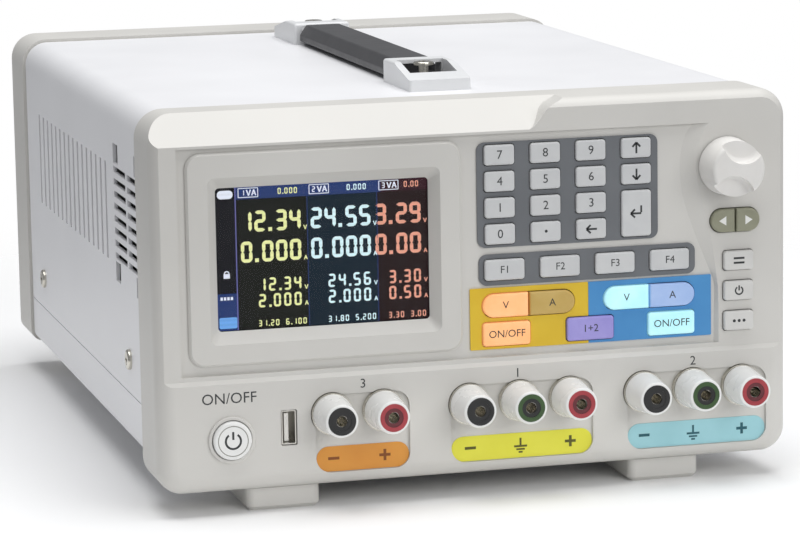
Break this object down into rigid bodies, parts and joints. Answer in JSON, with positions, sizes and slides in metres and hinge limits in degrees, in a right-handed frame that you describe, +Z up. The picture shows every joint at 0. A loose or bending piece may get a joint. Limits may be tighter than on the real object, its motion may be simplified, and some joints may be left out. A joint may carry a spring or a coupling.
{
  "type": "bench power supply",
  "caption": "Triple-output bench power supply with colour display, keypad, knob, 4 mm binding posts, vented cover and strap handle.",
  "frame": {"origin": "under the middle of the supply, on the surface that its feet stand on", "axes": "+Z up; the front panel faces -Y, so +X is to the right of someone facing it"},
  "size_m": [0.25, 0.3496, 0.1604],
  "materials": {
    "bezel": "moulded ABS, warm light grey, fine matte texture",
    "overlay": "printed matte overlay in dark grey, yellow and blue",
    "window": "clear glossy window",
    "display": "colour display with a lit picture",
    "cover": "powder-coated sheet steel, off-white",
    "rear_panel": "powder-coated sheet steel, light grey",
    "black_plastic": "black moulded nylon",
    "core_steel": "varnished transformer laminations",
    "sink": "extruded aluminium",
    "board": "green solder mask",
    "post_metal": "nickel-plated brass",
    "handle_caps": "moulded light grey plastic",
    "strap": "dark grey moulded rubber over spring steel",
    "feet": "moulded light grey plastic with dark rubber soles",
    "screw_steel": "nickel-plated pan-head screws",
    "knob": "moulded light grey plastic",
    "button": "moulded light grey plastic",
    "key_grey": "silicone rubber, light grey",
    "key_light": "silicone rubber, light grey",
    "key_peach": "backlit silicone rubber, peach",
    "key_khaki": "silicone rubber, khaki",
    "key_violet": "silicone rubber, violet",
    "key_cyan": "backlit silicone rubber, pale cyan",
    "key_blue": "silicone rubber, pale blue",
    "cap_black": "pale moulded shroud with a black end ring",
    "cap_green": "pale moulded shroud with a green end ring",
    "cap_red": "pale moulded shroud with a red end ring"
  },
  "bodies": {
    "case": {"base_tray": "cover", "binding_post_studs": "post_metal", "circuit_boards": "board", "display_module": "display", "display_window": "window", "fan_housing": "black_plastic", "feet": "feet", "front_bezel": "bezel", "handle_end_caps": "handle_caps", "heat_sink": "sink", "keypad_overlay": "overlay", "mains_inlet": "black_plastic", "power_transformer": "core_steel", "rear_frame": "bezel", "rear_panel": "rear_panel", "screws": "screw_steel", "top_cover": "cover"},
    "key_0": {"key_0": "key_grey"},
    "key_1": {"key_1": "key_grey"},
    "key_2": {"key_2": "key_grey"},
    "key_3": {"key_3": "key_grey"},
    "key_4": {"key_4": "key_grey"},
    "key_5": {"key_5": "key_grey"},
    "key_6": {"key_6": "key_grey"},
    "key_7": {"key_7": "key_grey"},
    "key_8": {"key_8": "key_grey"},
    "key_9": {"key_9": "key_grey"},
    "key_point": {"key_point": "key_grey"},
    "key_clear": {"key_clear": "key_grey"},
    "key_up": {"key_up": "key_grey"},
    "key_down": {"key_down": "key_grey"},
    "key_enter": {"key_enter": "key_grey"},
    "menu_key_1": {"menu_key_1": "key_grey"},
    "menu_key_2": {"menu_key_2": "key_grey"},
    "menu_key_3": {"menu_key_3": "key_grey"},
    "menu_key_4": {"menu_key_4": "key_grey"},
    "channel_1_volts_key": {"channel_1_volts_key": "key_peach"},
    "channel_1_amps_key": {"channel_1_amps_key": "key_khaki"},
    "channel_1_output_key": {"channel_1_output_key": "key_peach"},
    "channel_2_volts_key": {"channel_2_volts_key": "key_cyan"},
    "channel_2_amps_key": {"channel_2_amps_key": "key_blue"},
    "channel_2_output_key": {"channel_2_output_key": "key_cyan"},
    "more_key": {"more_key": "key_violet"},
    "arrow_left_key": {"arrow_left_key": "key_light"},
    "arrow_right_key": {"arrow_right_key": "key_light"},
    "side_key_1": {"side_key_1": "key_light"},
    "side_key_2": {"side_key_2": "key_light"},
    "side_key_3": {"side_key_3": "key_light"},
    "power_button": {"power_button": "button"},
    "post_cap_channel_1_ground": {"post_cap_channel_1_ground": "cap_green"},
    "post_cap_channel_1_minus": {"post_cap_channel_1_minus": "cap_black"},
    "post_cap_channel_1_plus": {"post_cap_channel_1_plus": "cap_red"},
    "post_cap_channel_2_ground": {"post_cap_channel_2_ground": "cap_green"},
    "post_cap_channel_2_minus": {"post_cap_channel_2_minus": "cap_black"},
    "post_cap_channel_2_plus": {"post_cap_channel_2_plus": "cap_red"},
    "post_cap_channel_3_minus": {"post_cap_channel_3_minus": "cap_black"},
    "post_cap_channel_3_plus": {"post_cap_channel_3_plus": "cap_red"},
    "knob": {"knob": "knob"},
    "fan_rotor": {"fan_rotor": "black_plastic"},
    "handle": {"handle_strap": "strap"}
  },
  "joints": [
    {"name": "key_0_press", "type": "slide", "parent": "case", "child": "key_0", "axis": [0, 1, 0], "range_m": [0, 0.001], "stiffness_N_per_m": 600},
    {"name": "key_1_press", "type": "slide", "parent": "case", "child": "key_1", "axis": [0, 1, 0], "range_m": [0, 0.001], "stiffness_N_per_m": 600},
    {"name": "key_2_press", "type": "slide", "parent": "case", "child": "key_2", "axis": [0, 1, 0], "range_m": [0, 0.001], "stiffness_N_per_m": 600},
    {"name": "key_3_press", "type": "slide", "parent": "case", "child": "key_3", "axis": [0, 1, 0], "range_m": [0, 0.001], "stiffness_N_per_m": 600},
    {"name": "key_4_press", "type": "slide", "parent": "case", "child": "key_4", "axis": [0, 1, 0], "range_m": [0, 0.001], "stiffness_N_per_m": 600},
    {"name": "key_5_press", "type": "slide", "parent": "case", "child": "key_5", "axis": [0, 1, 0], "range_m": [0, 0.001], "stiffness_N_per_m": 600},
    {"name": "key_6_press", "type": "slide", "parent": "case", "child": "key_6", "axis": [0, 1, 0], "range_m": [0, 0.001], "stiffness_N_per_m": 600},
    {"name": "key_7_press", "type": "slide", "parent": "case", "child": "key_7", "axis": [0, 1, 0], "range_m": [0, 0.001], "stiffness_N_per_m": 600},
    {"name": "key_8_press", "type": "slide", "parent": "case", "child": "key_8", "axis": [0, 1, 0], "range_m": [0, 0.001], "stiffness_N_per_m": 600},
    {"name": "key_9_press", "type": "slide", "parent": "case", "child": "key_9", "axis": [0, 1, 0], "range_m": [0, 0.001], "stiffness_N_per_m": 600},
    {"name": "key_point_press", "type": "slide", "parent": "case", "child": "key_point", "axis": [0, 1, 0], "range_m": [0, 0.001], "stiffness_N_per_m": 600},
    {"name": "key_clear_press", "type": "slide", "parent": "case", "child": "key_clear", "axis": [0, 1, 0], "range_m": [0, 0.001], "stiffness_N_per_m": 600},
    {"name": "key_up_press", "type": "slide", "parent": "case", "child": "key_up", "axis": [0, 1, 0], "range_m": [0, 0.001], "stiffness_N_per_m": 600},
    {"name": "key_down_press", "type": "slide", "parent": "case", "child": "key_down", "axis": [0, 1, 0], "range_m": [0, 0.001], "stiffness_N_per_m": 600},
    {"name": "key_enter_press", "type": "slide", "parent": "case", "child": "key_enter", "axis": [0, 1, 0], "range_m": [0, 0.001], "stiffness_N_per_m": 600},
    {"name": "menu_key_1_press", "type": "slide", "parent": "case", "child": "menu_key_1", "axis": [0, 1, 0], "range_m": [0, 0.001], "stiffness_N_per_m": 600},
    {"name": "menu_key_2_press", "type": "slide", "parent": "case", "child": "menu_key_2", "axis": [0, 1, 0], "range_m": [0, 0.001], "stiffness_N_per_m": 600},
    {"name": "menu_key_3_press", "type": "slide", "parent": "case", "child": "menu_key_3", "axis": [0, 1, 0], "range_m": [0, 0.001], "stiffness_N_per_m": 600},
    {"name": "menu_key_4_press", "type": "slide", "parent": "case", "child": "menu_key_4", "axis": [0, 1, 0], "range_m": [0, 0.001], "stiffness_N_per_m": 600},
    {"name": "channel_1_volts_key_press", "type": "slide", "parent": "case", "child": "channel_1_volts_key", "axis": [0, 1, 0], "range_m": [0, 0.001], "stiffness_N_per_m": 600},
    {"name": "channel_1_amps_key_press", "type": "slide", "parent": "case", "child": "channel_1_amps_key", "axis": [0, 1, 0], "range_m": [0, 0.001], "stiffness_N_per_m": 600},
    {"name": "channel_1_output_key_press", "type": "slide", "parent": "case", "child": "channel_1_output_key", "axis": [0, 1, 0], "range_m": [0, 0.001], "stiffness_N_per_m": 600},
    {"name": "channel_2_volts_key_press", "type": "slide", "parent": "case", "child": "channel_2_volts_key", "axis": [0, 1, 0], "range_m": [0, 0.001], "stiffness_N_per_m": 600},
    {"name": "channel_2_amps_key_press", "type": "slide", "parent": "case", "child": "channel_2_amps_key", "axis": [0, 1, 0], "range_m": [0, 0.001], "stiffness_N_per_m": 600},
    {"name": "channel_2_output_key_press", "type": "slide", "parent": "case", "child": "channel_2_output_key", "axis": [0, 1, 0], "range_m": [0, 0.001], "stiffness_N_per_m": 600},
    {"name": "more_key_press", "type": "slide", "parent": "case", "child": "more_key", "axis": [0, 1, 0], "range_m": [0, 0.001], "stiffness_N_per_m": 600},
    {"name": "arrow_left_key_press", "type": "slide", "parent": "case", "child": "arrow_left_key", "axis": [0, 1, 0], "range_m": [0, 0.001], "stiffness_N_per_m": 600},
    {"name": "arrow_right_key_press", "type": "slide", "parent": "case", "child": "arrow_right_key", "axis": [0, 1, 0], "range_m": [0, 0.001], "stiffness_N_per_m": 600},
    {"name": "side_key_1_press", "type": "slide", "parent": "case", "child": "side_key_1", "axis": [0, 1, 0], "range_m": [0, 0.001], "stiffness_N_per_m": 600},
    {"name": "side_key_2_press", "type": "slide", "parent": "case", "child": "side_key_2", "axis": [0, 1, 0], "range_m": [0, 0.001], "stiffness_N_per_m": 600},
    {"name": "side_key_3_press", "type": "slide", "parent": "case", "child": "side_key_3", "axis": [0, 1, 0], "range_m": [0, 0.001], "stiffness_N_per_m": 600},
    {"name": "power_button_press", "type": "slide", "parent": "case", "child": "power_button", "axis": [0, 1, 0], "range_m": [0, 0.003], "stiffness_N_per_m": 600},
    {"name": "post_cap_channel_1_ground_unscrew", "type": "slide", "parent": "case", "child": "post_cap_channel_1_ground", "axis": [0, -1, 0], "range_m": [0, 0.005]},
    {"name": "post_cap_channel_1_minus_unscrew", "type": "slide", "parent": "case", "child": "post_cap_channel_1_minus", "axis": [0, -1, 0], "range_m": [0, 0.005]},
    {"name": "post_cap_channel_1_plus_unscrew", "type": "slide", "parent": "case", "child": "post_cap_channel_1_plus", "axis": [0, -1, 0], "range_m": [0, 0.005]},
    {"name": "post_cap_channel_2_ground_unscrew", "type": "slide", "parent": "case", "child": "post_cap_channel_2_ground", "axis": [0, -1, 0], "range_m": [0, 0.005]},
    {"name": "post_cap_channel_2_minus_unscrew", "type": "slide", "parent": "case", "child": "post_cap_channel_2_minus", "axis": [0, -1, 0], "range_m": [0, 0.005]},
    {"name": "post_cap_channel_2_plus_unscrew", "type": "slide", "parent": "case", "child": "post_cap_channel_2_plus", "axis": [0, -1, 0], "range_m": [0, 0.005]},
    {"name": "post_cap_channel_3_minus_unscrew", "type": "slide", "parent": "case", "child": "post_cap_channel_3_minus", "axis": [0, -1, 0], "range_m": [0, 0.005]},
    {"name": "post_cap_channel_3_plus_unscrew", "type": "slide", "parent": "case", "child": "post_cap_channel_3_plus", "axis": [0, -1, 0], "range_m": [0, 0.005]},
    {"name": "knob_turn", "type": "hinge", "parent": "case", "child": "knob", "pos_m": [0.1, -0.16675, 0.12295], "axis": [0, 1, 0], "continuous": true},
    {"name": "fan_spin", "type": "hinge", "parent": "case", "child": "fan_rotor", "pos_m": [0.052, 0.15525, 0.087], "axis": [0, 1, 0], "continuous": true},
    {"name": "handle_lift", "type": "slide", "parent": "case", "child": "handle", "axis": [0, 0, 1], "range_m": [0, 0.004]}
  ]
}
